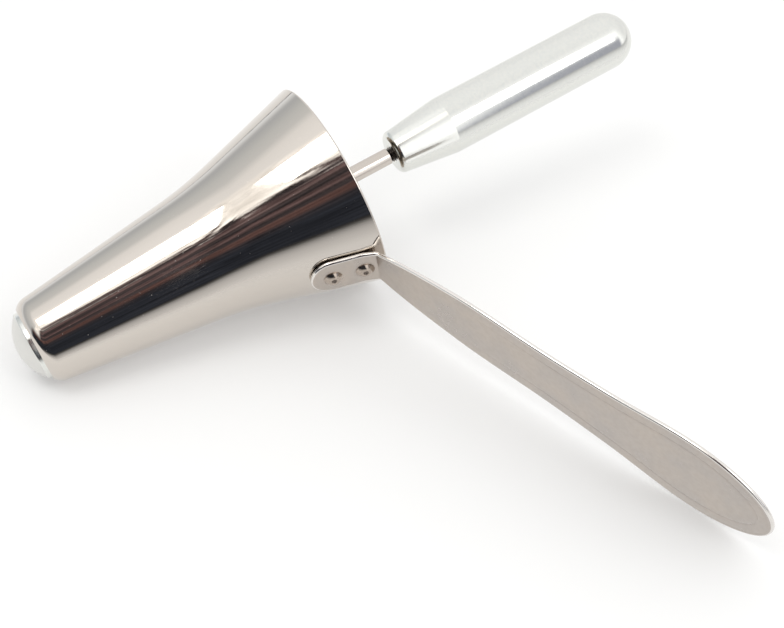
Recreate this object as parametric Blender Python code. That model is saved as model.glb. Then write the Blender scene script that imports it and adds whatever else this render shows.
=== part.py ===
"""Rectal speculum with its obturator in place, lying as it comes to rest on a table.

A trumpet shaped sleeve of polished steel carries a bent strap handle on two rivets.
The obturator, a turned nose, a rod and a grip, fills the sleeve's small end and
draws out of its wide mouth. Everything is modelled along the instrument's own axis,
+X from the tip to the mouth with the handle towards -Z, and is then laid on the
table. Lengths are in metres.
"""
import math

import bmesh
import bpy
from mathutils import Matrix, Vector

# Sleeve: a slow cone for the barrel that opens into a steeper flare.
SLEEVE_LENGTH = 0.0844
TIP_RADIUS = 0.01093
BARREL_TAPER = 0.125
FLARE_TAPER = 0.289
FLARE_START = 0.0502
FLARE_BLEND = 0.016
SLEEVE_WALL = 0.0009
OPENING_RADIUS = 0.0093
LIP_RADIUS = 0.0045
RIM_ROUND = 0.0002

# Obturator nose: fills the barrel and shows as a shallow dome at the tip.
NOSE_LENGTH = 0.030
NOSE_LAND = 0.0013
NOSE_RISE = 0.0030
NOSE_SHOULDER = 0.0004
NOSE_REAR_ROUND = 0.0010

# Rod: one bar with a reduced, threaded end in the nose and another in the grip.
ROD_RADIUS = 0.00214
THREAD_RADIUS = 0.0018
THREAD_LENGTH = 0.013
THREAD_GROOVE = 0.0003
THREAD_SHOWING = 0.0009
HOLE_BOTTOM = 0.0010
ROD_CHAMFER = 0.0002

# Grip: a cone that leads into a long, slightly tapering body with a round end.
GRIP_FRONT = 0.0172
GRIP_CONE_LENGTH = 0.0162
GRIP_LENGTH = 0.0725
GRIP_FRONT_RADIUS = 0.0058
GRIP_RADIUS = 0.00766
GRIP_END_RADIUS = 0.00760
GRIP_FRONT_ROUND = 0.0016
COUNTERSINK = 0.0004

# Handle: a strap with a narrow foot, a bend and a leaf shaped blade.
STRAP_THICKNESS = 0.0011
STRAP_EDGE_ROUND = 0.00035
FOOT_WIDTH = 0.0114
FOOT_DISH_RADIUS = 0.030
BEND_ANGLE = math.radians(54.8)
BEND_RADIUS = 0.0008
BLADE_LENGTH = 0.1142
SHOULDER_WIDTH = 0.0206
WAIST_WIDTH = 0.0216
FLANK_WIDTH = 0.0241
LEAF_WIDTH = 0.0296
SHOULDER_AT = 0.217
WAIST_AT = 0.413
FLANK_AT = 0.609
LEAF_AT = 0.804
NECK_SLOPE = 0.34
SHOULDER_SLOPE = 0.12
FLANK_SLOPE = 0.08

# Rivets: both stand square to the flare and pass through the foot and the wall.
RIVET_SETBACK = 0.0060
RIVET_PITCH = 0.0080
BEND_SETBACK = 0.0027
RIVET_RADIUS = 0.0013
RIVET_HEAD_RADIUS = 0.0024
RIVET_HEAD_HEIGHT = 0.0010
RIVET_DIMPLE_RADIUS = 0.0007
RIVET_DIMPLE_DEPTH = 0.0003
RIVET_TAIL_RADIUS = 0.0018
RIVET_TAIL_HEIGHT = 0.0005

# Clearance that neighbouring pieces keep, and the facets of round work.
FIT = 0.0003
MERGE = 0.000001
SLEEVE_SEGMENTS = 72
GRIP_SEGMENTS = 48
ROD_SEGMENTS = 32
RIVET_SEGMENTS = 24
ARC_STEPS = 6
BLEND_STEPS = 8
END_STEPS = 18
SIDE_STEPS = 7
BEND_STEPS = 6
SHARP_ANGLE = math.radians(35)

BARREL_ANGLE = math.atan(BARREL_TAPER)
FLARE_ANGLE = math.atan(FLARE_TAPER)


def arc(centre, radius, start, end, steps=ARC_STEPS):
    """Points of a circular arc in the plane of a profile, both ends included."""
    turns = [start + (end - start) * i / steps for i in range(steps + 1)]
    return [(centre[0] + radius * math.cos(t), centre[1] + radius * math.sin(t)) for t in turns]


def sleeve_radius(x):
    """Outer radius of the sleeve, with the two cones blended into each other."""
    start = FLARE_START - FLARE_BLEND / 2
    past = min(max(x - start, 0), FLARE_BLEND)
    gain = past ** 2 / (2 * FLARE_BLEND) + max(x - start - FLARE_BLEND, 0)
    return TIP_RADIUS + BARREL_TAPER * x + (FLARE_TAPER - BARREL_TAPER) * gain


def sleeve_slope(x):
    """Radius that the sleeve gains for each metre of length at x."""
    past = (x - FLARE_START + FLARE_BLEND / 2) / FLARE_BLEND
    return BARREL_TAPER + (FLARE_TAPER - BARREL_TAPER) * min(max(past, 0), 1)


def lip_centre():
    """Centre of the lip's rounding.

    The rounding is tangent to the barrel and ends at the opening's edge, at x = 0.
    """
    lean = LIP_RADIUS * math.sin(BARREL_ANGLE)
    drop = OPENING_RADIUS - TIP_RADIUS + LIP_RADIUS * math.cos(BARREL_ANGLE)
    a = 1 + BARREL_TAPER ** 2
    b = lean - drop * BARREL_TAPER
    c = lean ** 2 + drop ** 2 - LIP_RADIUS ** 2
    tangent = (math.sqrt(b ** 2 - a * c) - b) / a
    return tangent + lean, OPENING_RADIUS - drop + BARREL_TAPER * tangent


def sleeve_side(inset, bore=OPENING_RADIUS):
    """The sleeve's surface from lip to mouth, moved inwards by inset.

    It starts where it meets a bore of the given radius.
    """
    centre = lip_centre()
    start = math.pi - math.asin((bore - centre[1]) / (LIP_RADIUS - inset))
    points = arc(centre, LIP_RADIUS - inset, start, math.pi / 2 + BARREL_ANGLE)
    blend_start = FLARE_START - FLARE_BLEND / 2
    stations = [blend_start + FLARE_BLEND * i / BLEND_STEPS for i in range(BLEND_STEPS + 1)]
    stations.append(SLEEVE_LENGTH - inset * math.sin(FLARE_ANGLE))
    for x in stations:
        lean = math.atan(sleeve_slope(x))
        points.append((x + inset * math.sin(lean), sleeve_radius(x) - inset * math.cos(lean)))
    return points


def add_object(name, mesh, finish, parent):
    """Wrap a mesh in an object with its finish, shaded smooth between sharp edges."""
    mesh.shade_smooth()
    mesh.set_sharp_from_angle(angle=SHARP_ANGLE)
    mesh.materials.append(finish)
    piece = bpy.data.objects.new(name, mesh)
    bpy.context.collection.objects.link(piece)
    piece.parent = parent
    return piece


def turned(name, profile, segments, finish, parent, ring=False):
    """Spin a profile of (x, radius) points about the X axis; a ring's profile is closed."""
    bm = bmesh.new()
    verts = [bm.verts.new((x, radius, 0)) for x, radius in profile]
    edges = [bm.edges.new(pair) for pair in zip(verts, verts[1:])]
    if ring:
        edges.append(bm.edges.new((verts[-1], verts[0])))
    bmesh.ops.spin(bm, geom=verts + edges, cent=(0, 0, 0), axis=(1, 0, 0),
                   angle=math.tau, steps=segments, use_merge=True)
    bmesh.ops.remove_doubles(bm, verts=bm.verts, dist=MERGE)
    bmesh.ops.recalc_face_normals(bm, faces=bm.faces)
    mesh = bpy.data.meshes.new(name)
    bm.to_mesh(mesh)
    bm.free()
    return add_object(name, mesh, finish, parent)


def metal(name, colour, roughness):
    """Principled metal of one base colour."""
    finish = bpy.data.materials.new(name)
    finish.use_nodes = True
    shader = finish.node_tree.nodes["Principled BSDF"]
    shader.inputs["Base Color"].default_value = (*colour, 1)
    shader.inputs["Roughness"].default_value = roughness
    shader.inputs["Metallic"].default_value = 1
    return finish


def make_sleeve(finish, parent):
    """Drawn tube, rounded in and bored at the tip, with a softened rim at the mouth."""
    outside = sleeve_side(0)
    inside = sleeve_side(SLEEVE_WALL)
    rim_x, rim_outer = outside.pop()
    rim_inner = inside.pop()[1]
    back = rim_x - RIM_ROUND
    step = RIM_ROUND * FLARE_TAPER
    rim = [(back, rim_outer - step), (rim_x, rim_outer - step - RIM_ROUND),
           (rim_x, rim_inner - step + RIM_ROUND), (back, rim_inner - step)]
    return turned("sleeve", outside + rim + inside[::-1], SLEEVE_SEGMENTS, finish, parent, ring=True)


def make_nose(finish, parent):
    """Turned plug that seats in the barrel, with a dome through the opening."""
    seat = sleeve_side(SLEEVE_WALL + FIT, OPENING_RADIUS - FIT)
    cap_radius = OPENING_RADIUS - FIT - NOSE_SHOULDER
    sphere = (cap_radius ** 2 + NOSE_RISE ** 2) / (2 * NOSE_RISE)
    spread = math.asin(cap_radius / sphere)
    dome = arc((sphere - NOSE_RISE - NOSE_LAND, 0), sphere, math.pi, math.pi - spread)
    shoulder = arc((NOSE_SHOULDER - NOSE_LAND, cap_radius), NOSE_SHOULDER,
                   math.pi - spread / 2, math.pi / 2, steps=3)
    lip = seat[:ARC_STEPS + 1]
    side_drop = (SLEEVE_WALL + FIT) / math.cos(BARREL_ANGLE)
    rear_radius = sleeve_radius(NOSE_LENGTH - NOSE_REAR_ROUND) - side_drop
    rear = arc((NOSE_LENGTH - NOSE_REAR_ROUND, rear_radius - NOSE_REAR_ROUND), NOSE_REAR_ROUND,
               math.pi / 2, 0, steps=4)
    bore = THREAD_RADIUS + FIT
    bottom = NOSE_LENGTH - THREAD_LENGTH - HOLE_BOTTOM
    hole = [(NOSE_LENGTH, bore + COUNTERSINK), (NOSE_LENGTH - COUNTERSINK, bore), (bottom, bore),
            (bottom - bore / 2, 0)]
    profile = dome + shoulder + lip + rear + hole
    return turned("obturator_nose", profile, SLEEVE_SEGMENTS, finish, parent)


def make_rod(finish, parent):
    """Bar with a reduced, threaded end towards the nose and towards the grip."""
    shoulder_front = NOSE_LENGTH + FIT
    shoulder_rear = SLEEVE_LENGTH + GRIP_FRONT - THREAD_SHOWING
    front = shoulder_front - FIT - THREAD_LENGTH
    rear = shoulder_rear + THREAD_SHOWING + THREAD_LENGTH
    neck = THREAD_RADIUS - THREAD_GROOVE
    profile = [
        (front, 0), (front, THREAD_RADIUS - ROD_CHAMFER), (front + ROD_CHAMFER, THREAD_RADIUS),
        (shoulder_front, THREAD_RADIUS), (shoulder_front, ROD_RADIUS - ROD_CHAMFER),
        (shoulder_front + ROD_CHAMFER, ROD_RADIUS), (shoulder_rear - ROD_CHAMFER, ROD_RADIUS),
        (shoulder_rear, ROD_RADIUS - ROD_CHAMFER), (shoulder_rear, neck),
        (shoulder_rear + THREAD_GROOVE * 2, neck), (shoulder_rear + THREAD_GROOVE * 3, THREAD_RADIUS),
        (rear - ROD_CHAMFER, THREAD_RADIUS), (rear, THREAD_RADIUS - ROD_CHAMFER), (rear, 0)]
    return turned("obturator_rod", profile, ROD_SEGMENTS, finish, parent)


def make_grip(finish, parent):
    """Turned grip: bored front face, cone, slightly tapering body and round end."""
    front = SLEEVE_LENGTH + GRIP_FRONT
    bore = THREAD_RADIUS + FIT
    bottom = front + THREAD_LENGTH + HOLE_BOTTOM
    cone_end = front + GRIP_CONE_LENGTH
    cone_angle = math.atan((GRIP_RADIUS - GRIP_FRONT_RADIUS) / GRIP_CONE_LENGTH)
    ball = front + GRIP_LENGTH - GRIP_END_RADIUS
    hole = [(bottom + bore / 2, 0), (bottom, bore), (front + COUNTERSINK, bore),
            (front, bore + COUNTERSINK)]
    nose = arc((front + GRIP_FRONT_ROUND, GRIP_FRONT_RADIUS - GRIP_FRONT_ROUND), GRIP_FRONT_ROUND,
               math.pi, math.pi / 2 + cone_angle, steps=5)
    end = arc((ball, 0), GRIP_END_RADIUS, math.pi / 2, 0, steps=12)
    profile = hole + nose + [(cone_end, GRIP_RADIUS)] + end
    return turned("obturator_grip", profile, GRIP_SEGMENTS, finish, parent)


def flare_point(along, off):
    """A point beside the flare on the handle's side.

    along is measured down the flare's straight side from the mouth towards the tip,
    off is the distance outside it.
    """
    x = SLEEVE_LENGTH - along * math.cos(FLARE_ANGLE) - off * math.sin(FLARE_ANGLE)
    radius = sleeve_radius(SLEEVE_LENGTH) - along * math.sin(FLARE_ANGLE) + off * math.cos(FLARE_ANGLE)
    return Vector((x, 0, -radius))


def hermite(t, a, b, slope_a, slope_b):
    """Cubic curve from a to b with the given end slopes."""
    return ((2 * t ** 3 - 3 * t ** 2 + 1) * a + (t ** 3 - 2 * t ** 2 + t) * slope_a
            + (3 * t ** 2 - 2 * t ** 3) * b + (t ** 3 - t ** 2) * slope_b)


def strap_half_outline():
    """One edge of the flat strap as (distance past the bend, half width) points."""
    foot = FOOT_WIDTH / 2
    foot_length = RIVET_PITCH + BEND_SETBACK
    points = arc((-foot_length, 0), foot, math.pi, math.pi / 2, steps=10)
    knots = [
        (bend_length(), foot, NECK_SLOPE),
        (BLADE_LENGTH * SHOULDER_AT, SHOULDER_WIDTH / 2, SHOULDER_SLOPE),
        (BLADE_LENGTH * WAIST_AT, WAIST_WIDTH / 2, 0),
        (BLADE_LENGTH * FLANK_AT, FLANK_WIDTH / 2, FLANK_SLOPE),
        (BLADE_LENGTH * LEAF_AT, LEAF_WIDTH / 2, 0)]
    points.append((0, foot))
    for (s0, w0, m0), (s1, w1, m1) in zip(knots, knots[1:]):
        span = s1 - s0
        for i in range(SIDE_STEPS):
            t = i / SIDE_STEPS
            points.append((s0 + span * t, hermite(t, w0, w1, m0 * span, m1 * span)))
    start = knots[-1][0]
    half = knots[-1][1]
    for x, y in arc((0, 0), 1, math.pi / 2, 0, steps=END_STEPS):
        points.append((start + x * (BLADE_LENGTH - start), y * half))
    return points


def bend_length():
    """Length of strap that the bend takes up at half its thickness."""
    return BEND_ANGLE * (BEND_RADIUS + STRAP_THICKNESS / 2)


def dish(s, y):
    """How far the foot's sides are curved down towards the sleeve."""
    share = min(max(-s / BEND_SETBACK, 0), 1)
    return share * y ** 2 / (2 * FOOT_DISH_RADIUS)


def bent(s, y, depth):
    """Where a point of the flat strap goes once the strap is bent and set on the flare.

    s runs along the strap from the start of the bend, y across it, and depth is the
    height above the middle of its thickness, on the side away from the sleeve.
    """
    radius = BEND_RADIUS + STRAP_THICKNESS / 2
    start = flare_point(RIVET_SETBACK - BEND_SETBACK, FIT + STRAP_THICKNESS / 2)
    turn = min(max(s / radius, 0), BEND_ANGLE)
    heading = FLARE_ANGLE + turn
    along = Vector((math.cos(heading), 0, -math.sin(heading)))
    out = Vector((-math.sin(heading), 0, -math.cos(heading)))
    first_out = Vector((-math.sin(FLARE_ANGLE), 0, -math.cos(FLARE_ANGLE)))
    middle = start + first_out * radius - out * radius
    straight = s - turn * radius
    return middle + along * straight + out * (depth - dish(s, y)) + Vector((0, y, 0))


def make_handle(finish, parent):
    """Flat blank with softened edges, dished at the foot and bent once where it leaves it."""
    side = strap_half_outline()
    outline = side + [(s, -y) for s, y in side[-2:0:-1]]
    bm = bmesh.new()
    face = bm.faces.new([bm.verts.new((s, y, -STRAP_THICKNESS / 2)) for s, y in outline])
    raised = bmesh.ops.extrude_face_region(bm, geom=[face])["geom"]
    top = [item for item in raised if isinstance(item, bmesh.types.BMVert)]
    bmesh.ops.translate(bm, verts=top, vec=(0, 0, STRAP_THICKNESS))
    bmesh.ops.recalc_face_normals(bm, faces=bm.faces)
    edges = [e for e in bm.edges if abs(e.verts[0].co.z - e.verts[1].co.z) < MERGE]
    bmesh.ops.bevel(bm, geom=edges, offset=STRAP_EDGE_ROUND, segments=2, profile=0.5, affect="EDGES")
    for s in [-BEND_SETBACK] + [bend_length() * i / BEND_STEPS for i in range(BEND_STEPS + 1)]:
        geometry = bm.verts[:] + bm.edges[:] + bm.faces[:]
        bmesh.ops.bisect_plane(bm, geom=geometry, plane_co=(s, 0, 0), plane_no=(1, 0, 0), dist=MERGE)
    for share in (-0.55, 0, 0.55):
        verts = [vert for vert in bm.verts if vert.co.x < MERGE]
        edges = [edge for edge in bm.edges if max(vert.co.x for vert in edge.verts) < MERGE]
        geometry = verts + edges + [face for face in bm.faces if face.calc_center_median().x < 0]
        plane = (0, share * FOOT_WIDTH / 2, 0)
        bmesh.ops.bisect_plane(bm, geom=geometry, plane_co=plane, plane_no=(0, 1, 0), dist=MERGE)
    bmesh.ops.remove_doubles(bm, verts=bm.verts, dist=MERGE)
    for vert in bm.verts:
        vert.co = bent(*vert.co)
    bmesh.ops.recalc_face_normals(bm, faces=bm.faces)
    mesh = bpy.data.meshes.new("handle")
    bm.to_mesh(mesh)
    bm.free()
    return add_object("handle", mesh, finish, parent)


def stand_on_flare(piece, along):
    """Place a piece on the flare with its own X axis square to the surface."""
    outward = Vector((-math.sin(FLARE_ANGLE), 0, -math.cos(FLARE_ANGLE)))
    piece.rotation_mode = "QUATERNION"
    piece.rotation_quaternion = Vector((1, 0, 0)).rotation_difference(outward)
    piece.location = flare_point(along, 0)


def make_rivet(name, along, finish, parent):
    """Rivet with a dimpled dome outside and a peened tail inside the sleeve."""
    tail_top = -SLEEVE_WALL - FIT
    head_base = STRAP_THICKNESS + 2 * FIT
    cap = RIVET_HEAD_RADIUS - RIVET_DIMPLE_RADIUS
    dome = [(head_base + RIVET_HEAD_HEIGHT * y, RIVET_DIMPLE_RADIUS + cap * x)
            for x, y in arc((0, 0), 1, 0, math.pi / 2, steps=6)]
    tail = [(tail_top - RIVET_TAIL_HEIGHT * y, RIVET_TAIL_RADIUS * x)
            for x, y in arc((0, 0), 1, math.pi / 2, 0, steps=4)]
    dimple = (head_base + RIVET_HEAD_HEIGHT - RIVET_DIMPLE_DEPTH, 0)
    profile = tail + [(tail_top, RIVET_RADIUS), (head_base, RIVET_RADIUS)] + dome + [dimple]
    rivet = turned(name, profile, RIVET_SEGMENTS, finish, parent)
    stand_on_flare(rivet, along)
    return rivet


def drill(name, along, pieces, parent):
    """Cut a rivet's hole square to the flare through the given pieces."""
    bm = bmesh.new()
    radius = RIVET_RADIUS + FIT
    depth = (SLEEVE_WALL + STRAP_THICKNESS + FIT) * 3
    bmesh.ops.create_cone(bm, cap_ends=True, segments=RIVET_SEGMENTS, radius1=radius, radius2=radius,
                          depth=depth, matrix=Matrix.Rotation(math.pi / 2, 4, "Y"))
    mesh = bpy.data.meshes.new(name)
    bm.to_mesh(mesh)
    bm.free()
    cutter = bpy.data.objects.new(name, mesh)
    bpy.context.collection.objects.link(cutter)
    cutter.parent = parent
    cutter.hide_render = True
    cutter.display_type = "WIRE"
    stand_on_flare(cutter, along)
    for piece in pieces:
        cut = piece.modifiers.new(name, "BOOLEAN")
        cut.operation = "DIFFERENCE"
        cut.object = cutter


def reach(points, down):
    """How far the given points lie along a direction."""
    return max(point.dot(down) for point in points)


def bisect(difference, low, high):
    """The angle between low and high at which a rising difference is zero."""
    for _ in range(60):
        middle = (low + high) / 2
        if difference(middle) > 0:
            high = middle
        else:
            low = middle
    return (low + high) / 2


def resting_down():
    """The downward direction, seen by the instrument, when it lies on a flat table.

    It touches at the rounded tip, at the rim of the mouth and at the end of the blade.
    """
    side = sleeve_side(0)
    tip = [Vector((x, r, 0)) for x, r in side[:ARC_STEPS + 1]]
    rim = [Vector((SLEEVE_LENGTH - RIM_ROUND, side[-1][1] - RIM_ROUND * FLARE_TAPER, 0))]

    def leaning(tilt):
        return Vector((-math.sin(tilt), math.cos(tilt), 0))

    tilt = bisect(lambda t: reach(tip, leaning(t)) - reach(rim, leaning(t)), 0, math.pi / 4)
    depths = (-STRAP_THICKNESS / 2, STRAP_THICKNESS / 2)
    half = strap_half_outline()
    blade = [bent(s, y, depth) for s, y in half for depth in depths if s > BLADE_LENGTH / 2]
    table = reach(rim, leaning(tilt))

    def rolled(roll):
        across = Vector((0, math.sin(roll), -math.cos(roll)))
        return Vector((-math.sin(tilt), 0, 0)) + across * math.cos(tilt)

    roll = bisect(lambda r: table - reach(blade, rolled(r)), math.pi / 4, math.pi * 3 / 4)
    return rolled(roll)


def lay_down(instrument):
    """Turn the whole instrument to its resting pose, centred over the origin."""
    up = -resting_down()
    forward = (Vector((1, 0, 0)) - up * up.x).normalized()
    turn = Matrix((forward, up.cross(forward), up)).to_4x4()
    instrument.matrix_world = turn
    bpy.context.view_layer.update()
    corners = []
    for piece in bpy.data.objects:
        if piece.type == "MESH" and not piece.hide_render:
            corners += [piece.matrix_world @ vert.co for vert in piece.data.vertices]
    low = Vector([min(corner[i] for corner in corners) for i in range(3)])
    high = Vector([max(corner[i] for corner in corners) for i in range(3)])
    middle = (low + high) / 2
    instrument.matrix_world = Matrix.Translation((-middle.x, -middle.y, -low.z)) @ turn


def empty(name, parent=None):
    """An empty at the origin of its parent."""
    holder = bpy.data.objects.new(name, None)
    bpy.context.collection.objects.link(holder)
    holder.parent = parent
    return holder


def main():
    for old in list(bpy.data.objects):
        bpy.data.objects.remove(old)

    polished = metal("polished_stainless_steel", (0.62, 0.60, 0.57), 0.06)
    brushed = metal("satin_stainless_steel", (0.52, 0.48, 0.45), 0.28)
    bar = metal("drawn_stainless_steel", (0.56, 0.52, 0.49), 0.22)
    aluminium = metal("turned_aluminium", (0.80, 0.81, 0.82), 0.30)
    dome = metal("fine_turned_aluminium", (0.78, 0.78, 0.77), 0.25)

    instrument = empty("instrument")
    obturator = empty("obturator_axis", instrument)
    rear = RIVET_SETBACK
    front = RIVET_SETBACK + RIVET_PITCH

    sleeve = make_sleeve(polished, instrument)
    handle = make_handle(brushed, instrument)
    make_rivet("rivet_front", front, brushed, instrument)
    make_rivet("rivet_rear", rear, brushed, instrument)
    drill("front_hole", front, (sleeve, handle), instrument)
    drill("rear_hole", rear, (sleeve, handle), instrument)
    make_nose(dome, obturator)
    make_rod(bar, obturator)
    make_grip(aluminium, obturator)
    lay_down(instrument)


main()
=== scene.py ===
"""Rectal speculum with its obturator seated, on a white table under soft light.

Every piece is drawn in the instrument's own frame, +X from the tip to the wide
mouth with the handle towards -Z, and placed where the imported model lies.
Lengths are in metres, apart from the grain of the finishes, which is in millimetres.
"""
import math

import bmesh
import bpy
from mathutils import Euler, Matrix, Vector


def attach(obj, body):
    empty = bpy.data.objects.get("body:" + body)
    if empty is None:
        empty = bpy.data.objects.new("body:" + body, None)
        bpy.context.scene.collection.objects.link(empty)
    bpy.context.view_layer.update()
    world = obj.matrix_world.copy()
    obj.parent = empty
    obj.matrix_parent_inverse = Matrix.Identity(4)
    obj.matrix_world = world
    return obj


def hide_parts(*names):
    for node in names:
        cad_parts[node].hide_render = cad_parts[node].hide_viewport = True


# Where the instrument's axes lie in the frame.
PLACE = Matrix((
    (0.981722, 0.188049, -0.029312, -0.083288),
    (0.0, 0.154012, 0.988069, 0.053052),
    (0.190320, -0.970009, 0.151197, 0.010510),
    (0.0, 0.0, 0.0, 1.0)))

# Sleeve
SLEEVE_LENGTH = 0.0844
TIP_RADIUS = 0.01093
BARREL_TAPER = 0.125
FLARE_TAPER = 0.289
FLARE_START = 0.0502
FLARE_BLEND = 0.016
SLEEVE_WALL = 0.0009
OPENING_RADIUS = 0.0093
LIP_RADIUS = 0.0045
RIM_ROUND = 0.00038
LIP_EDGE = 0.0002
LIP_STEPS = 24
SLEEVE_SIDES = 288

# Obturator
FIT = 0.0003
NOSE_LENGTH = 0.030
NOSE_LAND = 0.0010
NOSE_RISE = 0.0033
NOSE_SHOULDER = 0.0004
NOSE_DRAFT = 0.00012
NOSE_BACK_ROUND = 0.0010
NOSE_SIDES = 192
ROD_RADIUS = 0.00214
ROD_CHAMFER = 0.0002
ROD_SIDES = 96
THREAD_RADIUS = 0.0018
THREAD_LENGTH = 0.013
THREAD_PITCH = 0.0005
THREAD_DEPTH = 0.0003
THREAD_SHOWING = 0.0009
THREAD_UNDERCUT = 0.0003
THREAD_STEP = 0.0001
HOLE_SPARE = 0.0010
GRIP_FRONT = 0.0172
GRIP_CONE_LENGTH = 0.0162
GRIP_LENGTH = 0.0725
GRIP_FRONT_RADIUS = 0.0058
GRIP_RADIUS = 0.00766
GRIP_END_RADIUS = 0.00760
GRIP_FRONT_ROUND = 0.0016
GRIP_SIDES = 144
COUNTERSINK = 0.0004

# Handle
STRAP_THICKNESS = 0.0011
STRAP_EDGE_ROUND = 0.00048
FOOT_WIDTH = 0.0114
FOOT_DISH_RADIUS = 0.030
BEND_ANGLE = math.radians(54.8)
BEND_RADIUS = 0.0008
BEND_SETBACK = 0.0027
BLADE_LENGTH = 0.1142

# The blade's edge up to its widest place: share of its length, half width, and the half
# width that it gains there for each metre.
BLADE_KNOTS = ((0.217, 0.0103, 0.12), (0.413, 0.0108, 0), (0.609, 0.01205, 0.08), (0.804, 0.0148, 0))
NECK_SPREAD = 0.34

# Faint lines that the belt left round the blade: how far in from its edge, how deep, and
# how far past the bend each begins to show.
BORDER_LINES = ((0.0039, 0.00009, 0.030), (0.0012, 0.00005, 0.080))
BORDER_WIDTH = 0.0002
BORDER_FADE = 0.025
FACE_INSETS = (0.0006, 0.0022, 0.0032, 0.0048)

# Rivets
RIVET_SETBACK = 0.0060
RIVET_PITCH = 0.0080
RIVET_RADIUS = 0.0013
RIVET_HEAD_RADIUS = 0.0024
RIVET_HEAD_HEIGHT = 0.0010
RIVET_DIMPLE_RADIUS = 0.00100
RIVET_DIMPLE_DEPTH = 0.00045
RIVET_SIDE_HEIGHT = 0.00025
RIVET_DOME_POWER = 1.8
RIVET_SEAT_DEPTH = 0.0001
RIVET_SEAT_EDGE = 0.00005
RIVET_TAIL_RADIUS = 0.0018
RIVET_TAIL_HEIGHT = 0.0008
# Rings at the middle of the dimple that are given its painted shade.
RIVET_SHADED_RINGS = 7
RIVET_SIDES = 96

# Finishes: most of a noise lies between these two values.
NOISE_LOW = 0.35
NOISE_HIGH = 0.65
MICROMETRE = 0.000001
SPECK_CELLS_PER_METRE = 900
SPECK_ROUGHNESS = 0.4

# Table: how far it is lifted towards plain white for the camera and for polished metal,
# and from where to where, along Y, it fades out of the metal's reflections.
TABLE_SIZE = 4
LIFT_TO_EYE = 0.22
LIFT_TO_METAL = 0.35
TABLE_SEEN_TO = (0.02, -0.02)

# Room, in degrees: the cupboard's bearing clockwise from +X, the bearings between which
# its far corner lies at the horizon, how much bearing a degree of height is worth along
# its leaning edges, and the bearing where its boards stop leaning.
CUPBOARD_BEARING = 120
PAST_CORNER = (26.8, 28.4)
CORNER_LEAN = 0.4
BOARDS_FROM = -20
NAVY = (0.0145, 0.0165, 0.022)

# Lamps and camera
LAMP_TARGET = (-0.02, 0.03, 0.02)
CAMERA_PLACE = (-0.13467, -0.22039, 0.29164)
CAMERA_TURN = (44.277, 0.192, -29.106)
CAMERA_LENS = 72.7335

BARREL_ANGLE = math.atan(BARREL_TAPER)
FLARE_ANGLE = math.atan(FLARE_TAPER)


def arc(centre, radius, start, end, steps=16):
    """Points of a circular arc in the plane of a profile, both ends included."""
    turns = [start + (end - start) * i / steps for i in range(steps + 1)]
    return [(centre[0] + radius * math.cos(t), centre[1] + radius * math.sin(t)) for t in turns]


def sleeve_radius(x):
    """Outer radius of the sleeve, with the two cones blended into each other."""
    start = FLARE_START - FLARE_BLEND / 2
    past = min(max(x - start, 0), FLARE_BLEND)
    gain = past ** 2 / (2 * FLARE_BLEND) + max(x - start - FLARE_BLEND, 0)
    return TIP_RADIUS + BARREL_TAPER * x + (FLARE_TAPER - BARREL_TAPER) * gain


def sleeve_slope(x):
    """Radius that the sleeve gains for each metre of length at x."""
    past = (x - FLARE_START + FLARE_BLEND / 2) / FLARE_BLEND
    return BARREL_TAPER + (FLARE_TAPER - BARREL_TAPER) * min(max(past, 0), 1)


def lip_centre():
    """Centre of the rounding that ends the barrel at the tip's opening."""
    lean = LIP_RADIUS * math.sin(BARREL_ANGLE)
    drop = OPENING_RADIUS - TIP_RADIUS + LIP_RADIUS * math.cos(BARREL_ANGLE)
    a = 1 + BARREL_TAPER ** 2
    b = lean - drop * BARREL_TAPER
    c = lean ** 2 + drop ** 2 - LIP_RADIUS ** 2
    tangent = (math.sqrt(b ** 2 - a * c) - b) / a
    return tangent + lean, OPENING_RADIUS - drop + BARREL_TAPER * tangent


def sleeve_side(inset, bore=OPENING_RADIUS, edge=0):
    """The sleeve's surface from lip to mouth, moved inwards by inset; edge rounds the opening."""
    centre = lip_centre()
    reach = LIP_RADIUS - inset - edge
    start = math.pi - math.asin((bore + edge - centre[1]) / reach)
    corner = (centre[0] + reach * math.cos(start), bore + edge)
    points = arc(corner, edge, math.pi * 1.5, start, steps=6)[:-1] if edge else []
    points += arc(centre, LIP_RADIUS - inset, start, math.pi / 2 + BARREL_ANGLE, steps=LIP_STEPS)
    stations = [FLARE_START + FLARE_BLEND * (i / 28 - 0.5) for i in range(29)]
    stations.append(SLEEVE_LENGTH - inset * math.sin(FLARE_ANGLE))
    for x in stations:
        lean = math.atan(sleeve_slope(x))
        points.append((x + inset * math.sin(lean), sleeve_radius(x) - inset * math.cos(lean)))
    return points


def piece_of(name, verts, faces, finishes, body, nodes, sharp=30):
    """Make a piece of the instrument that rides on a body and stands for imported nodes."""
    mesh = bpy.data.meshes.new(name)
    mesh.from_pydata([PLACE @ Vector(vert) for vert in verts], [], faces)
    mesh.validate()
    for finish in finishes:
        mesh.materials.append(finish)
    mesh.shade_smooth()
    mesh.set_sharp_from_angle(angle=math.radians(sharp))
    piece = bpy.data.objects.new(name, mesh)
    bpy.context.collection.objects.link(piece)
    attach(piece, body)
    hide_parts(*nodes)
    return piece


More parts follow.
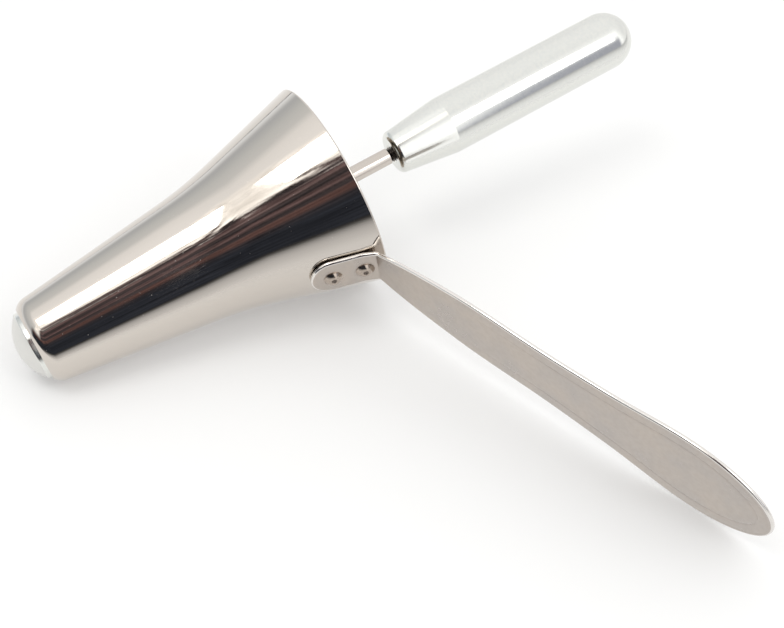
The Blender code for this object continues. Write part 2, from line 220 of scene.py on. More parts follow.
def turned(profile, segments, place=None, closed=False):
    """Verts and faces of a turned piece from (x, radius) or (x, radius, thread depth) points.

    Points of no radius become one pole each. A thread cuts its depth into the radius
    along a helix.
    """
    verts = []
    rings = []
    for x, radius, *cut in profile:
        if radius < 1e-7:
            rings.append([len(verts)])
            verts.append(Vector((x, 0, 0)))
            continue
        rings.append(list(range(len(verts), len(verts) + segments)))
        for i in range(segments):
            turn = math.tau * i / segments
            groove = 0
            if cut:
                phase = (x / THREAD_PITCH - i / segments) % 1
                groove = cut[0] * abs(2 * phase - 1)
            rim = radius - groove
            verts.append(Vector((x, rim * math.cos(turn), rim * math.sin(turn))))
    faces = []
    pairs = list(zip(rings, rings[1:]))
    if closed:
        pairs.append((rings[-1], rings[0]))
    for a, b in pairs:
        for i in range(segments):
            j = (i + 1) % segments
            if len(a) == 1 and len(b) > 1:
                faces.append((a[0], b[j], b[i]))
            elif len(b) == 1 and len(a) > 1:
                faces.append((a[i], a[j], b[0]))
            elif len(a) > 1:
                faces.append((a[i], a[j], b[j], b[i]))
    if place:
        verts = [place @ vert for vert in verts]
    return verts, faces


def srgb(code):
    """Linear colour of an sRGB hex value."""
    parts = [int(code[i:i + 2], 16) / 255 for i in (1, 3, 5)]
    linear = [p / 12.92 if p <= 0.04045 else ((p + 0.055) / 1.055) ** 2.4 for p in parts]
    return (*linear, 1)


def join(tree, node, inputs):
    """Set a node's inputs, each to a value, a socket, or the output that another node has in use."""
    for socket, value in inputs.items():
        if isinstance(value, bpy.types.Node):
            value = next(output for output in value.outputs if output.enabled)
        if isinstance(value, bpy.types.NodeSocket):
            tree.links.new(value, node.inputs[socket])
        else:
            node.inputs[socket].default_value = value


def add(tree, kind, inputs=None, **settings):
    """Add a node with its settings, values and links."""
    node = tree.nodes.new(kind)
    for name, value in settings.items():
        setattr(node, name, value)
    join(tree, node, inputs or {})
    return node


def new_metal(name, colour, roughness):
    """Metal of one colour and roughness, with its tree and shader to build on."""
    finish = bpy.data.materials.new(name)
    finish.use_nodes = True
    tree = finish.node_tree
    shader = tree.nodes["Principled BSDF"]
    join(tree, shader, {"Base Color": srgb(colour), "Metallic": 1, "Roughness": roughness})
    return finish, tree, shader


def streaks(tree, length, width, detail=3):
    """Noise with features of a length along the instrument's axis and a width, in millimetres."""
    place = add(tree, "ShaderNodeTexCoord")
    drawn = add(tree, "ShaderNodeMapping", {
        "Vector": place.outputs["Object"], "Location": PLACE.to_translation(),
        "Rotation": PLACE.to_euler(), "Scale": (length / 1000, width / 1000, width / 1000)},
        vector_type="TEXTURE")
    return add(tree, "ShaderNodeTexNoise", {"Vector": drawn, "Scale": 1, "Detail": detail})


def wander(tree, *parts):
    """Value that wanders with noises: the sum of (noise, least, most) parts."""
    total = None
    for noise, least, most in parts:
        part = add(tree, "ShaderNodeMapRange", {
            "Value": noise, "From Min": NOISE_LOW, "From Max": NOISE_HIGH,
            "To Min": least, "To Max": most})
        if total is None:
            total = part
        else:
            total = add(tree, "ShaderNodeMath", {0: total, 1: part}, operation="ADD")
    return total


def inside(tree, *edges):
    """Share that is 1 inside all the soft edges, each (value, where it is 0, where it is 1)."""
    share = None
    for value, nothing, whole in edges:
        step = add(tree, "ShaderNodeMapRange", {"Value": value, "From Min": nothing, "From Max": whole},
                   interpolation_type="SMOOTHSTEP")
        if share is None:
            share = step
        else:
            share = add(tree, "ShaderNodeMath", {0: share, 1: step}, operation="MULTIPLY")
    return share


def painted(tree, base, *layers):
    """Colour that is painted over with layers in turn, each (share, colour)."""
    for share, colour in layers:
        base = add(tree, "ShaderNodeMix", {"Factor": share, "A": base, "B": colour}, data_type="RGBA")
    return base


def mirror_polished_stainless():
    """Buffed stainless steel: a clear, slightly warm mirror with faint buffing lines along it.

    The lines of the real buff are some hundredths of a millimetre apart; they are drawn
    at a third of a millimetre so that they show. A few specks a tenth of a millimetre
    across stay dull, about a millimetre from each other.
    """
    finish, tree, shader = new_metal("mirror_polished_stainless_steel", "#D2CBC3", 0.05)
    lines = streaks(tree, 16.67, 0.3333)
    clouds = streaks(tree, 11.11, 6.25)
    haze = wander(tree, (lines, 0.02, 0.05), (clouds, 0.0, 0.04))
    place = add(tree, "ShaderNodeTexCoord")
    cells = add(tree, "ShaderNodeTexVoronoi", {
        "Vector": place.outputs["Object"], "Scale": SPECK_CELLS_PER_METRE})
    chance = add(tree, "ShaderNodeSeparateColor", {0: cells.outputs["Color"]})
    specks = inside(tree, (cells, 0.10, 0.05), (chance, 0.4, 1))
    dulled = add(tree, "ShaderNodeMath", {0: specks, 1: SPECK_ROUGHNESS, 2: haze},
                 operation="MULTIPLY_ADD")
    ridges = add(tree, "ShaderNodeBump", {"Height": lines, "Distance": 2 * MICROMETRE, "Strength": 1})
    join(tree, shader, {"Roughness": dulled, "Normal": ridges})
    return finish


def satin_stainless():
    """Stainless strip finished on a fine belt: soft grey sheen, cloudy, grain along the blade.

    The belt's grit leaves a grain finer than a tenth of a millimetre, drawn at half a
    millimetre. The clouds are where the belt pressed harder, about a centimetre long.
    """
    finish, tree, shader = new_metal("satin_belt_finished_stainless_steel", "#C0B7AE", 0.34)
    grain = streaks(tree, 0.5556, 1.4286)
    clouds = streaks(tree, 4.545, 11.11, detail=4)
    sheen = wander(tree, (grain, 0.26, 0.36), (clouds, 0.0, 0.08))
    tone = painted(tree, srgb("#B9B1AA"), (wander(tree, (clouds, 0, 1)), srgb("#C4BAB0")))
    ridges = add(tree, "ShaderNodeBump", {"Height": grain, "Distance": 4 * MICROMETRE, "Strength": 1})
    join(tree, shader, {"Base Color": tone, "Roughness": sheen, "Normal": ridges})
    return finish


def buffed_edge_and_painted_highlight():
    """The strap's rounded edges, buffed smoother than its faces, with nicks a millimetre apart; their
    lighter colour is a painted highlight.
    """
    finish, tree, shader = new_metal("buffed_stainless_edge_painted_highlight", "#E8E4DF", 0.12)
    nicks = streaks(tree, 1.111, 1.111)
    join(tree, shader, {"Roughness": wander(tree, (nicks, 0.08, 0.18))})
    return finish


def riveted_steel():
    """Rivet wire, upset and lightly buffed: darker and a little brown, dented by the hammer."""
    finish, tree, shader = new_metal("upset_stainless_rivet", "#B2A69B", 0.14)
    marks = streaks(tree, 0.6667, 0.6667)
    dents = add(tree, "ShaderNodeBump", {"Height": marks, "Distance": 6 * MICROMETRE, "Strength": 1})
    join(tree, shader, {"Roughness": wander(tree, (marks, 0.10, 0.20)), "Normal": dents})
    return finish


def painted_dimple_shade():
    """Floor of the rivet's dimple: dull, with a dark grey-brown colour that is painted shade in the
    recess.
    """
    finish, tree, shader = new_metal("rivet_dimple_painted_shade", "#766C65", 0.35)
    marks = streaks(tree, 0.4, 0.4)
    join(tree, shader, {"Roughness": wander(tree, (marks, 0.28, 0.42))})
    return finish


def drawn_steel():
    """Bright drawn bar: die lines run straight along it and stretch its highlight.

    Real die lines are some hundredths of a millimetre wide; they are drawn at four tenths.
    """
    finish, tree, shader = new_metal("bright_drawn_stainless_bar", "#CFC7BF", 0.16)
    lines = streaks(tree, 33.33, 0.3846)
    ridges = add(tree, "ShaderNodeBump", {"Height": lines, "Distance": 4 * MICROMETRE, "Strength": 1})
    join(tree, shader, {"Roughness": wander(tree, (lines, 0.10, 0.24)), "Normal": ridges})
    return finish


def thread_painted_shade():
    """Thread cut in the bar and left as cut, torn a little by the die; its dark colour is painted shade in
    the thread's grooves and the bore round it.
    """
    finish, tree, shader = new_metal("cut_thread_painted_shade", "#6A645F", 0.3)
    tears = streaks(tree, 0.6667, 0.3333)
    join(tree, shader, {"Roughness": wander(tree, (tears, 0.24, 0.40))})
    return finish


def turned_aluminium():
    """Aluminium off the lathe: pale and satin, with fine rings and a grain of tool marks.

    A finishing feed is about a tenth of a millimetre; the rings are drawn at a third.
    """
    finish, tree, shader = new_metal("fine_turned_aluminium", "#E4E4DF", 0.15)
    rings = streaks(tree, 0.3333, 16.67)
    grain = streaks(tree, 0.4545, 0.7692)
    sheen = wander(tree, (grain, 0.11, 0.13), (rings, 0.0, 0.03))
    tone = painted(tree, srgb("#E1E2DE"), (wander(tree, (grain, 0, 1)), srgb("#E6E6E1")))
    ridges = add(tree, "ShaderNodeBump", {"Height": rings, "Distance": 1.6 * MICROMETRE, "Strength": 1})
    join(tree, shader, {"Base Color": tone, "Roughness": sheen, "Normal": ridges})
    return finish


def lapped_aluminium():
    """The nose's dome, lapped smooth by hand: pale, even and soft.

    The lapping grit's marks are finer than the eye sees; they are drawn at six tenths of a
    millimetre.
    """
    finish, tree, shader = new_metal("lapped_aluminium", "#DCDBD7", 0.3)
    grain = streaks(tree, 0.625, 0.625)
    marks = add(tree, "ShaderNodeBump", {"Height": grain, "Distance": MICROMETRE, "Strength": 1})
    join(tree, shader, {"Roughness": wander(tree, (grain, 0.28, 0.34)), "Normal": marks})
    return finish


def make_sleeve(finish):
    """Drawn tube, bored at the rounded tip, with a half-round rim at the mouth."""
    outer_side = sleeve_side(0, edge=LIP_EDGE)
    inner_side = sleeve_side(SLEEVE_WALL)
    rim_x, rim_outer = outer_side.pop()
    rim_inner = inner_side.pop()[1]
    back = rim_x - RIM_ROUND
    step = RIM_ROUND * FLARE_TAPER
    outer = arc((back, rim_outer - step - RIM_ROUND), RIM_ROUND, math.pi / 2 + FLARE_ANGLE, 0, steps=8)
    inner = arc((back, rim_inner - step + RIM_ROUND), RIM_ROUND, 0, -math.pi / 2 + FLARE_ANGLE, steps=8)
    profile = outer_side + outer + inner + inner_side[::-1]
    verts, faces = turned(profile, SLEEVE_SIDES, closed=True)
    return piece_of("sleeve_shell", verts, faces, [finish], "speculum", ["sleeve"])


def make_nose(lapped, turned_metal):
    """Turned plug with a lapped dome, a bright land in the opening and a drilled back."""
    seat = sleeve_side(SLEEVE_WALL + FIT, OPENING_RADIUS - FIT)[:LIP_STEPS + 1]
    cap = OPENING_RADIUS - FIT - NOSE_SHOULDER - NOSE_DRAFT
    sphere = (cap ** 2 + NOSE_RISE ** 2) / (2 * NOSE_RISE)
    swing = math.asin(cap / sphere)
    dome = arc((sphere - NOSE_RISE - NOSE_LAND, 0), sphere, math.pi, math.pi - swing, steps=28)
    dome[0] = (dome[0][0], 0)
    shoulder = arc((NOSE_SHOULDER - NOSE_LAND, cap), NOSE_SHOULDER, math.pi - swing / 2, math.pi / 2,
                   steps=8)
    slant = (SLEEVE_WALL + FIT) / math.cos(BARREL_ANGLE)
    back_start = NOSE_LENGTH - NOSE_BACK_ROUND
    back_radius = sleeve_radius(back_start) - slant - NOSE_BACK_ROUND
    back = arc((back_start, back_radius), NOSE_BACK_ROUND, math.pi / 2 + BARREL_ANGLE, 0, steps=10)
    bore = THREAD_RADIUS + FIT
    bottom = NOSE_LENGTH - THREAD_LENGTH - HOLE_SPARE
    hole = [(NOSE_LENGTH, bore + COUNTERSINK), (NOSE_LENGTH - COUNTERSINK, bore), (bottom, bore),
            (bottom - bore / 2, 0)]
    profile = dome + shoulder + seat + back + hole
    verts, faces = turned(profile, NOSE_SIDES)
    piece = piece_of("obturator_plug", verts, faces, [turned_metal, lapped], "obturator",
                     ["obturator_nose"])
    land_starts = NOSE_SHOULDER * 0.4 - NOSE_LAND
    to_own_frame = PLACE.inverted()
    for face in piece.data.polygons:
        face.material_index = int((to_own_frame @ face.center).x < land_starts)
    return piece


def threaded(start, end):
    """Stations of a thread from start to end, ten to a turn, to cut its helix in."""
    count = round((end - start) / THREAD_PITCH * 10)
    return [(start + (end - start) * i / count, THREAD_RADIUS, THREAD_DEPTH) for i in range(count + 1)]


def make_rod(finish, thread_shade):
    """Drawn bar with a cut thread at each end, the rear one showing in front of the grip."""
    front = NOSE_LENGTH - THREAD_LENGTH + FIT
    shoulder = NOSE_LENGTH + FIT
    rear_shoulder = SLEEVE_LENGTH + GRIP_FRONT - THREAD_SHOWING
    rear = rear_shoulder + THREAD_SHOWING + THREAD_LENGTH
    core = THREAD_RADIUS - THREAD_DEPTH
    undercut = shoulder - THREAD_UNDERCUT
    neck = rear_shoulder + THREAD_STEP
    profile = [(front, 0), (front, core)]
    profile += threaded(front + ROD_CHAMFER, undercut - THREAD_STEP)
    profile += [(undercut, core), (shoulder, core), (shoulder, ROD_RADIUS - ROD_CHAMFER)]
    profile += [(shoulder + ROD_CHAMFER, ROD_RADIUS), (rear_shoulder - ROD_CHAMFER, ROD_RADIUS)]
    profile += [(rear_shoulder, ROD_RADIUS - ROD_CHAMFER), (rear_shoulder, core), (neck, core)]
    profile += threaded(neck + THREAD_STEP, rear - ROD_CHAMFER)
    profile += [(rear, core), (rear, 0)]
    verts, faces = turned(profile, ROD_SIDES)
    piece = piece_of("obturator_bar", verts, faces, [finish, thread_shade], "obturator",
                     ["obturator_rod"])
    to_own_frame = PLACE.inverted()
    for face in piece.data.polygons:
        along = (to_own_frame @ face.center).x
        # Both threads take the dark finish, which paints shade into them.
        face.material_index = int(not shoulder < along < rear_shoulder)
    return piece


def make_grip(finish):
    """Turned grip: faced and countersunk front, cone, slightly tapering body, round end."""
    front = SLEEVE_LENGTH + GRIP_FRONT
    bore = THREAD_RADIUS + FIT
    bottom = front + THREAD_LENGTH + HOLE_SPARE
    cone_end = front + GRIP_CONE_LENGTH
    cone_angle = math.atan((GRIP_RADIUS - GRIP_FRONT_RADIUS) / GRIP_CONE_LENGTH)
    ball = front + GRIP_LENGTH - GRIP_END_RADIUS
    hole = [(bottom + bore / 2, 0), (bottom, bore), (front + COUNTERSINK, bore),
            (front, bore + COUNTERSINK)]
    nose = arc((front + GRIP_FRONT_ROUND, GRIP_FRONT_RADIUS - GRIP_FRONT_ROUND), GRIP_FRONT_ROUND,
               math.pi, math.pi / 2 + cone_angle, steps=12)
    end = arc((ball, 0), GRIP_END_RADIUS, math.pi / 2, 0, steps=28)
    end[-1] = (end[-1][0], 0)
    profile = hole + nose + [(cone_end, GRIP_RADIUS)] + end
    verts, faces = turned(profile, GRIP_SIDES)
    return piece_of("obturator_handgrip", verts, faces, [finish], "obturator",
                    ["obturator_grip"], sharp=5.5)


def hermite(t, a, b, slope_a, slope_b):
    """Cubic curve from a to b with the given end slopes."""
    return ((2 * t ** 3 - 3 * t ** 2 + 1) * a + (t ** 3 - 2 * t ** 2 + t) * slope_a
            + (3 * t ** 2 - 2 * t ** 3) * b + (t ** 3 - t ** 2) * slope_b)


def bend_length():
    """Length of strap that the bend takes up at half its thickness."""
    return BEND_ANGLE * (BEND_RADIUS + STRAP_THICKNESS / 2)


def strap_half_outline():
    """One edge of the flat strap as (distance past the bend, half width) points.

    The foot's end is half a circle and the blade's end half an ellipse.
    """
    foot = FOOT_WIDTH / 2
    points = arc((-RIVET_PITCH - BEND_SETBACK, 0), foot, math.pi, math.pi / 2, steps=24)
    points += [(-RIVET_PITCH * (1 - i / 8), foot) for i in range(8)]
    points += [(bend_length() * i / 12, foot) for i in range(12)]
    knots = [(bend_length(), foot, NECK_SPREAD)]
    knots += [(BLADE_LENGTH * share, width, gain) for share, width, gain in BLADE_KNOTS]
    for (s0, w0, m0), (s1, w1, m1) in zip(knots, knots[1:]):
        span = s1 - s0
        for i in range(16):
            t = i / 16
            points.append((s0 + span * t, hermite(t, w0, w1, m0 * span, m1 * span)))
    start = knots[-1][0]
    half = knots[-1][1]
    for x, y in arc((0, 0), 1, math.pi / 2, 0, steps=40):
        points.append((start + x * (BLADE_LENGTH - start), y * half))
    return points


def flare_point(along, off):
    """A point beside the flare: along it from the mouth, and off it outwards."""
    x = SLEEVE_LENGTH - along * math.cos(FLARE_ANGLE) - off * math.sin(FLARE_ANGLE)
    radius = sleeve_radius(SLEEVE_LENGTH) - along * math.sin(FLARE_ANGLE) + off * math.cos(FLARE_ANGLE)
    return Vector((x, 0, -radius))


def dish(s, y):
    """How far the foot's sides are curved down towards the sleeve."""
    share = min(max(-s / BEND_SETBACK, 0), 1)
    return share * y ** 2 / (2 * FOOT_DISH_RADIUS)


def bent(s, y, depth):
    """Where a point of the flat strap goes once the strap is bent and set on the flare."""
    radius = BEND_RADIUS + STRAP_THICKNESS / 2
    start = flare_point(RIVET_SETBACK - BEND_SETBACK, FIT + STRAP_THICKNESS / 2)
    turn = min(max(s / radius, 0), BEND_ANGLE)
    heading = FLARE_ANGLE + turn
    along = Vector((math.cos(heading), 0, -math.sin(heading)))
    out = Vector((-math.sin(heading), 0, -math.cos(heading)))
    first_out = Vector((-math.sin(FLARE_ANGLE), 0, -math.cos(FLARE_ANGLE)))
    middle = start + first_out * radius - out * radius
    return middle + along * (s - turn * radius) + out * (depth - dish(s, y)) + Vector((0, y, 0))


def border_depth(s, inset):
    """Depth of the faint lines that the belt left inside the blade's outline."""
    sunk = 0
    for line, depth, start in BORDER_LINES:
        fade = min(max((s - start) / BORDER_FADE, 0), 1)
        near = max(1 - abs(inset - line) / BORDER_WIDTH, 0)
        sunk += depth * fade * near
    return sunk


def make_handle(satin, buffed):
    """Strap in rings: in from the middle of one face, round the edge, out over the other."""
    side = strap_half_outline()
    spine = []
    for i, (s, w) in enumerate(side):
        s0, w0 = side[max(i - 1, 0)]
        s1, w1 = side[min(i + 1, len(side) - 1)]
        spine.append(s + (w1 ** 2 - w0 ** 2) / (2 * (s1 - s0)))
    outline = list(zip(side, spine))
    loop = [(s, w, c) for (s, w), c in outline] + [(s, -w, c) for (s, w), c in outline[-2:0:-1]]
    rounding = [(STRAP_EDGE_ROUND * (1 - math.cos(t)), STRAP_EDGE_ROUND * (1 - math.sin(t)))
                for t in [math.pi / 2 * i / 5 for i in range(6)]]
    insets = list(FACE_INSETS)
    for line, _, _ in BORDER_LINES:
        insets += [line + BORDER_WIDTH * step / 2 for step in range(-2, 3)]
    face = rounding + [(inset, 0) for inset in sorted(insets)] + [(1, 0)]
    half = STRAP_THICKNESS / 2
    verts = []
    rings = []
    for sign, order in ((-1, face[::-1]), (1, face)):
        for inset, drop in order:
            rings.append(list(range(len(verts), len(verts) + len(loop))))
            for s, w, c in loop:
                reach = math.hypot(s - c, w)
                part = min(inset / reach, 1) if reach > 1e-9 else 1
                here = s + (c - s) * part
                sunk = border_depth(here, inset)
                verts.append(bent(here, w * (1 - part), sign * (half - drop - sunk)))
    faces = []
    for a, b in zip(rings, rings[1:]):
        for i in range(len(loop)):
            j = (i + 1) % len(loop)
            faces.append((a[i], b[i], b[j], a[j]))
    piece = piece_of("strap_handle", verts, faces, [satin, buffed], "speculum", ["handle"])
    # The rounded edges take the buffed finish, whose light colour is a painted highlight along them.
    edge_first = len(face) - len(rounding)
    edge_last = len(face) + len(rounding) - 1
    for index, polygon in enumerate(piece.data.polygons):
        ring = index // len(loop)
        polygon.material_index = int(edge_first <= ring < edge_last)
    weld(piece)
    return piece


def weld(piece):
    """Merge the points that meet on the strap's middle line, and face everything outwards."""
    bm = bmesh.new()
    bm.from_mesh(piece.data)
    bmesh.ops.remove_doubles(bm, verts=bm.verts, dist=MICROMETRE)
    bmesh.ops.dissolve_degenerate(bm, edges=bm.edges, dist=MICROMETRE / 2)
    bmesh.ops.recalc_face_normals(bm, faces=bm.faces)
    bm.to_mesh(piece.data)
    bm.free()


def make_rivet(name, along, node, finish, dimple_shade):
    """Rivet with a low domed head, dimpled in the middle, and a peened tail inside the sleeve."""
    base = STRAP_THICKNESS + FIT - RIVET_SEAT_DEPTH
    side = base + RIVET_SIDE_HEIGHT
    top = STRAP_THICKNESS + FIT + RIVET_HEAD_HEIGHT
    hollow_edge = RIVET_DIMPLE_RADIUS
    dome = [(side + (top - side) * (1 - share ** RIVET_DOME_POWER),
             hollow_edge + (RIVET_HEAD_RADIUS - hollow_edge) * share)
            for share in [1 - i / 14 for i in range(15)]]
    dimple = [(top - RIVET_DIMPLE_DEPTH * (1 + math.cos(math.pi * share)) / 2, hollow_edge * share)
              for share in [i / 10 for i in range(9, -1, -1)]]
    tail = [(-SLEEVE_WALL - RIVET_TAIL_HEIGHT * math.cos(t), RIVET_TAIL_RADIUS * math.sin(t))
            for t in [math.pi / 2 * i / 10 for i in range(11)]]
    shank = [(-SLEEVE_WALL, RIVET_RADIUS), (base, RIVET_RADIUS),
             (base, RIVET_HEAD_RADIUS - RIVET_SEAT_EDGE)]
    outward = Vector((-math.sin(FLARE_ANGLE), 0, -math.cos(FLARE_ANGLE)))
    turn = Vector((1, 0, 0)).rotation_difference(outward).to_matrix().to_4x4()
    place = Matrix.Translation(flare_point(along, 0)) @ turn
    verts, faces = turned(tail + shank + dome + dimple, RIVET_SIDES, place=place)
    piece = piece_of(name, verts, faces, [finish, dimple_shade], "speculum", [node], sharp=40)
    # The dimple's inner rings take the dark finish: painted shade in the recess.
    painted_shade_from = len(faces) - RIVET_SIDES * RIVET_SHADED_RINGS
    for index, face in enumerate(piece.data.polygons):
        face.material_index = int(index >= painted_shade_from)
    return piece


def ramp(tree, value, stops):
    """Colour that follows a value through its stops, each (value, grey level or colour)."""
    low = stops[0][0]
    high = stops[-1][0]
    share = add(tree, "ShaderNodeMapRange", {"Value": value, "From Min": low, "From Max": high})
    node = add(tree, "ShaderNodeValToRGB", {"Fac": share})
    elements = node.color_ramp.elements
    elements.remove(elements[-1])
    for i, (at, level) in enumerate(stops):
        element = elements[0] if i == 0 else elements.new(1)
        element.position = (at - low) / (high - low)
        element.color = (*level, 1) if isinstance(level, tuple) else (level, level, level, 1)
    return node


def make_table():
    """Plain white table top, lifted towards plain white where it is looked at.

    Polished metal sees it only as far as the instrument's front: the rest of the table in
    the reflections belongs to the room.
    """
    finish = bpy.data.materials.new("white_laminate")
    finish.use_nodes = True
    tree = finish.node_tree
    tree.nodes.clear()
    matt = add(tree, "ShaderNodeBsdfDiffuse", {"Color": srgb("#F8F8F7")})
    plain = add(tree, "ShaderNodeEmission", {"Color": (1, 1, 1, 1), "Strength": 1})
    path = add(tree, "ShaderNodeLightPath")
    mirrored = add(tree, "ShaderNodeMath", {
        0: path.outputs["Is Glossy Ray"], 1: path.outputs["Is Transmission Ray"]}, operation="MAXIMUM")
    to_eye = add(tree, "ShaderNodeMath", {
        0: path.outputs["Is Camera Ray"], 1: LIFT_TO_EYE}, operation="MULTIPLY")
    to_metal = add(tree, "ShaderNodeMath", {0: mirrored, 1: LIFT_TO_METAL}, operation="MULTIPLY")
    lift = add(tree, "ShaderNodeMath", {0: to_eye, 1: to_metal}, operation="MAXIMUM")
    top = add(tree, "ShaderNodeMixShader", {0: lift, 1: matt, 2: plain})
    place = add(tree, "ShaderNodeTexCoord")
    parts = add(tree, "ShaderNodeSeparateXYZ", {0: place.outputs["Object"]})
    front = inside(tree, (parts.outputs["Y"], *TABLE_SEEN_TO))
    open_share = add(tree, "ShaderNodeMath", {0: front, 1: mirrored}, operation="MULTIPLY")
    gone = add(tree, "ShaderNodeBsdfTransparent")
    whole = add(tree, "ShaderNodeMixShader", {0: open_share, 1: top, 2: gone})
    add(tree, "ShaderNodeOutputMaterial", {"Surface": whole})
    mesh = bpy.data.meshes.new("table_top")
    half = TABLE_SIZE / 2
    corners = [(-half, -half, 0), (half, -half, 0), (half, half, 0), (-half, half, 0)]
    mesh.from_pydata(corners, [], [(0, 1, 2, 3)])
    mesh.materials.append(finish)
    table = bpy.data.objects.new("table_top", mesh)
    bpy.context.collection.objects.link(table)


def look_directions(tree):
    """Height above the horizon, and bearing round from the cupboard, both in degrees."""
    place = add(tree, "ShaderNodeTexCoord")
    facing = add(tree, "ShaderNodeVectorRotate", {
        "Vector": place.outputs["Generated"], "Angle": math.radians(CUPBOARD_BEARING)},
        rotation_type="Z_AXIS")
    parts = add(tree, "ShaderNodeSeparateXYZ", {0: facing})
    rise = add(tree, "ShaderNodeMath", {0: parts.outputs["Z"]}, operation="ARCSINE")
    turn = add(tree, "ShaderNodeMath", {0: parts.outputs["Y"], 1: parts.outputs["X"]}, operation="ARCTAN2")
    height = add(tree, "ShaderNodeMath", {0: rise, 1: math.degrees(1)}, operation="MULTIPLY")
    bearing = add(tree, "ShaderNodeMath", {0: turn, 1: math.degrees(1)}, operation="MULTIPLY")
    return height, bearing


def white_walls(tree, height, bearing, corner):
    """Pale walls, greyer low down behind the table, a bright window and a grey chair's back."""
    beside = ramp(tree, height, [(-10, 0.50), (20, 0.48), (40, 0.51), (70, 0.52), (90, 0.50)])
    behind = ramp(tree, height, [
        (-10, (0.50, 0.52, 0.545)), (3, (0.50, 0.52, 0.54)), (8, (0.40, 0.415, 0.43)),
        (11, (0.325, 0.34, 0.355)), (15, (0.30, 0.315, 0.33)), (21, (0.325, 0.34, 0.35)),
        (30, (0.37, 0.385, 0.39)), (42, (0.41, 0.42, 0.425)), (50, 0.54), (60, 0.58), (70, 0.60),
        (90, 0.50)])
    window = ramp(tree, height, [
        (-10, 0.5), (0, 0.60), (10, 0.72), (50, 0.70), (62, 0.56), (75, 0.50), (90, 0.50)])
    chair = (0.215, 0.22, 0.25, 1)
    end = add(tree, "ShaderNodeMath", {0: height, 1: -0.3, 2: bearing}, operation="MULTIPLY_ADD")
    return painted(
        tree, beside,
        (inside(tree, (end, -158, -154), (bearing, -48, -60)), behind),
        (inside(tree, (corner, *PAST_CORNER), (bearing, 110, 70)), window),
        (inside(tree, (bearing, 41, 49), (bearing, 82, 68), (height, 42, 20)), chair))


def curtain_over(tree, height, bearing, before_corner, folds):
    """Share and colour of the cream curtain that hangs above and beyond the cupboard."""
    far = inside(tree, (bearing, -98, -84), (height, 50, 62))
    near = inside(tree, (bearing, -62, -56), (height, 26, 42))
    hung = add(tree, "ShaderNodeMath", {0: far, 1: near}, operation="MAXIMUM")
    share = add(tree, "ShaderNodeMath", {0: hung, 1: before_corner}, operation="MULTIPLY")
    cloth = ramp(tree, folds, [
        (0.3, (0.52, 0.505, 0.48)), (0.5, (0.69, 0.67, 0.64)), (0.7, (0.95, 0.94, 0.92))])
    return share, cloth


def cupboard_front(tree, height, bearing, before_corner, level, grain):
    """Share and colour of the cupboard: navy below, then boards of red-brown wood and seams."""
    navy_edge = (0.020, 0.018, 0.021)
    seam = (0.032, 0.027, 0.029)
    red_wood = (0.078, 0.044, 0.040)
    wood = (0.078, 0.051, 0.051)
    pale_wood = (0.10, 0.072, 0.072)
    top_board = (0.14, 0.12, 0.12)
    boards = ramp(tree, level, [
        (16, NAVY), (24, navy_edge), (29, red_wood), (32, red_wood), (34.5, seam), (38, seam), (42, wood),
        (44, wood), (46.5, seam), (49, seam), (53, pale_wood), (56, wood), (61, seam), (66, pale_wood),
        (72, top_board)])
    shaded = add(tree, "ShaderNodeMix", {"Factor": 1, "A": boards, "B": wander(tree, (grain, 0.5, 1.5))},
                 data_type="RGBA", blend_type="MULTIPLY")
    low = inside(tree, (height, 35, 20), (bearing, -75, -62))
    whole = inside(tree, (bearing, -42, -28))
    share = add(tree, "ShaderNodeMath", {0: whole, 1: low}, operation="MAXIMUM")
    share = add(tree, "ShaderNodeMath", {0: share, 1: before_corner}, operation="MULTIPLY")
    top = add(tree, "ShaderNodeMath", {0: bearing, 1: -0.5, 2: height}, operation="MULTIPLY_ADD")
    top = add(tree, "ShaderNodeMath", {0: top, 1: wander(tree, (grain, -9, 9))}, operation="ADD")
    share = add(tree, "ShaderNodeMath", {0: share, 1: inside(tree, (top, 77, 65))}, operation="MULTIPLY")
    return share, shaded


def table_below(tree, height, bearing):
    """Share and colour of the table below the horizon, dark where it mirrors the cupboard."""
    under_cupboard = ramp(tree, height, [
        (-90, 0.47), (-35, 0.465), (-29, 0.455), (-24, 0.42), (-19, 0.375), (-16, 0.35), (-13, 0.31),
        (-11, 0.27), (-9, 0.215), (-7, 0.14), (-5, 0.06), (-3, 0.022), (-1, NAVY)])
    under_wall = ramp(tree, height, [
        (-90, 0.47), (-35, 0.49), (-28, 0.50), (-20, 0.48), (-10, 0.41), (-3, 0.29), (0, 0.24)])
    under_window = ramp(tree, height, [(-90, 0.47), (-40, 0.47), (-24, 0.60), (0, 0.62)])
    under_wall = painted(tree, under_window, (inside(tree, (bearing, 38, 48)), under_wall))
    held = add(tree, "ShaderNodeMath", {0: height, 1: -8}, operation="MAXIMUM")
    corner = add(tree, "ShaderNodeMath", {0: held, 1: CORNER_LEAN, 2: bearing}, operation="MULTIPLY_ADD")
    table = painted(tree, under_cupboard, (inside(tree, (corner, 26, 28)), under_wall))
    return inside(tree, (height, 0.5, -1.5)), table


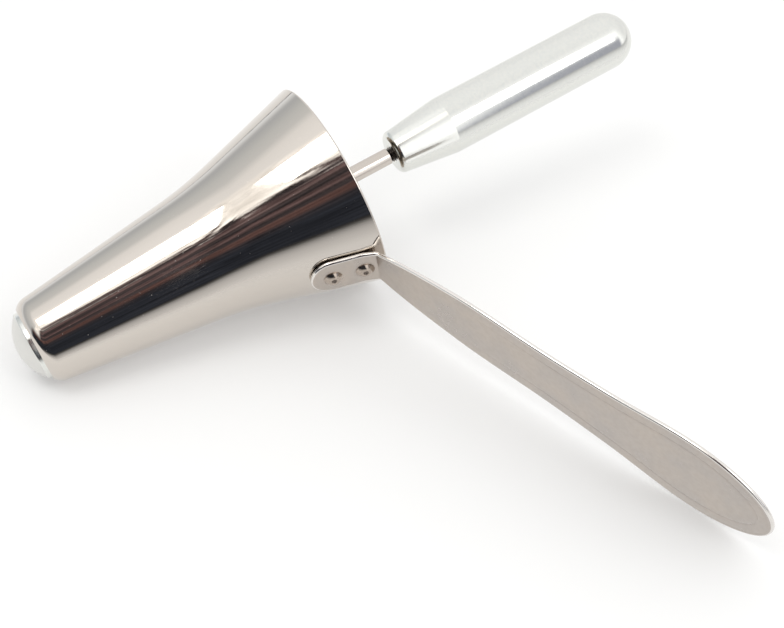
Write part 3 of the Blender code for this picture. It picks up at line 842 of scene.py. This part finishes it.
def make_room():
    """White room with a dark cupboard of red-brown wood in front of the table, seen by every ray but the
    camera's.

    Directions are in degrees: height above the horizon, and bearing round from the cupboard.
    Light levels are written at half strength. The camera sees a plain white background.
    """
    world = bpy.data.worlds.new("white_room")
    bpy.context.scene.world = world
    world.use_nodes = True
    tree = world.node_tree
    tree.nodes.clear()
    height, bearing = look_directions(tree)

    # The corner past the cupboard leans with height, and so do its boards, up to its left side.
    corner = add(tree, "ShaderNodeMath", {0: height, 1: CORNER_LEAN, 2: bearing}, operation="MULTIPLY_ADD")
    before_corner = inside(tree, (corner, *reversed(PAST_CORNER)))
    held = add(tree, "ShaderNodeMath", {0: bearing, 1: BOARDS_FROM}, operation="MAXIMUM")
    level = add(tree, "ShaderNodeMath", {0: held, 1: -CORNER_LEAN, 2: height}, operation="MULTIPLY_ADD")

    # Wood grain and curtain folds share one noise: features 14 degrees long and 2.6 high.
    along = add(tree, "ShaderNodeMath", {0: bearing, 1: 0.07}, operation="MULTIPLY")
    up = add(tree, "ShaderNodeMath", {0: level, 1: 0.38}, operation="MULTIPLY")
    across = add(tree, "ShaderNodeCombineXYZ", {"X": along, "Y": up})
    grain = add(tree, "ShaderNodeTexNoise", {"Vector": across, "Scale": 1, "Detail": 3})

    room = painted(
        tree, white_walls(tree, height, bearing, corner),
        curtain_over(tree, height, bearing, before_corner, grain),
        cupboard_front(tree, height, bearing, before_corner, level, grain),
        table_below(tree, height, bearing))
    lit = add(tree, "ShaderNodeBackground", {"Color": room, "Strength": 2})
    plain = add(tree, "ShaderNodeBackground", {"Color": (1, 1, 1, 1), "Strength": 1})
    path = add(tree, "ShaderNodeLightPath")
    seen = add(tree, "ShaderNodeMixShader", {0: path.outputs["Is Camera Ray"], 1: lit, 2: plain})
    add(tree, "ShaderNodeOutputWorld", {"Surface": seen})


def soft_box(name, azimuth, elevation, distance, width, height, power):
    """Large soft lamp aimed at the instrument; azimuth is counted from +X towards +Y."""
    lamp = bpy.data.lights.new(name, "AREA")
    lamp.shape = "RECTANGLE"
    lamp.size = width
    lamp.size_y = height
    lamp.energy = power
    holder = bpy.data.objects.new(name, lamp)
    bpy.context.collection.objects.link(holder)
    a = math.radians(azimuth)
    e = math.radians(elevation)
    way = Vector((math.cos(a) * math.cos(e), math.sin(a) * math.cos(e), math.sin(e)))
    holder.location = way * distance + Vector(LAMP_TARGET)
    holder.rotation_euler = way.to_track_quat("Z", "Y").to_euler()


def make_camera():
    """Camera at the photograph's place, looking down over the tip."""
    camera = bpy.data.cameras.new("camera")
    camera.lens = CAMERA_LENS
    camera.sensor_width = 36
    camera.clip_start = 0.01
    holder = bpy.data.objects.new("camera", camera)
    bpy.context.collection.objects.link(holder)
    holder.location = CAMERA_PLACE
    holder.rotation_euler = Euler([math.radians(angle) for angle in CAMERA_TURN])
    bpy.context.scene.camera = holder


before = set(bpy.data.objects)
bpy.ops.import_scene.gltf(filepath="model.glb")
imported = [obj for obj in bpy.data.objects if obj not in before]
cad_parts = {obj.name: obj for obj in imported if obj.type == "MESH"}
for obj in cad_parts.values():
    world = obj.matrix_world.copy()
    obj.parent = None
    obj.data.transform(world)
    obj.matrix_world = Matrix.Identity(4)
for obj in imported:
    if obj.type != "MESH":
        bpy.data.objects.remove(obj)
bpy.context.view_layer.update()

mirror = mirror_polished_stainless()
aluminium = turned_aluminium()
make_sleeve(mirror)
make_handle(satin_stainless(), buffed_edge_and_painted_highlight())
rivet_steel = riveted_steel()
dimple_shade = painted_dimple_shade()
make_rivet("foot_rivet_front", RIVET_SETBACK + RIVET_PITCH, "rivet_front", rivet_steel, dimple_shade)
make_rivet("foot_rivet_rear", RIVET_SETBACK, "rivet_rear", rivet_steel, dimple_shade)
make_nose(lapped_aluminium(), aluminium)
make_rod(drawn_steel(), thread_painted_shade())
make_grip(aluminium)

make_table()
make_room()
soft_box("left_soft_box", azimuth=-178, elevation=70, distance=1.0, width=0.4, height=0.3, power=1.4)
soft_box("right_soft_box", azimuth=-70, elevation=45, distance=1.0, width=0.25, height=0.5, power=1.0)
make_camera()
bpy.context.scene.view_settings.view_transform = "Standard"
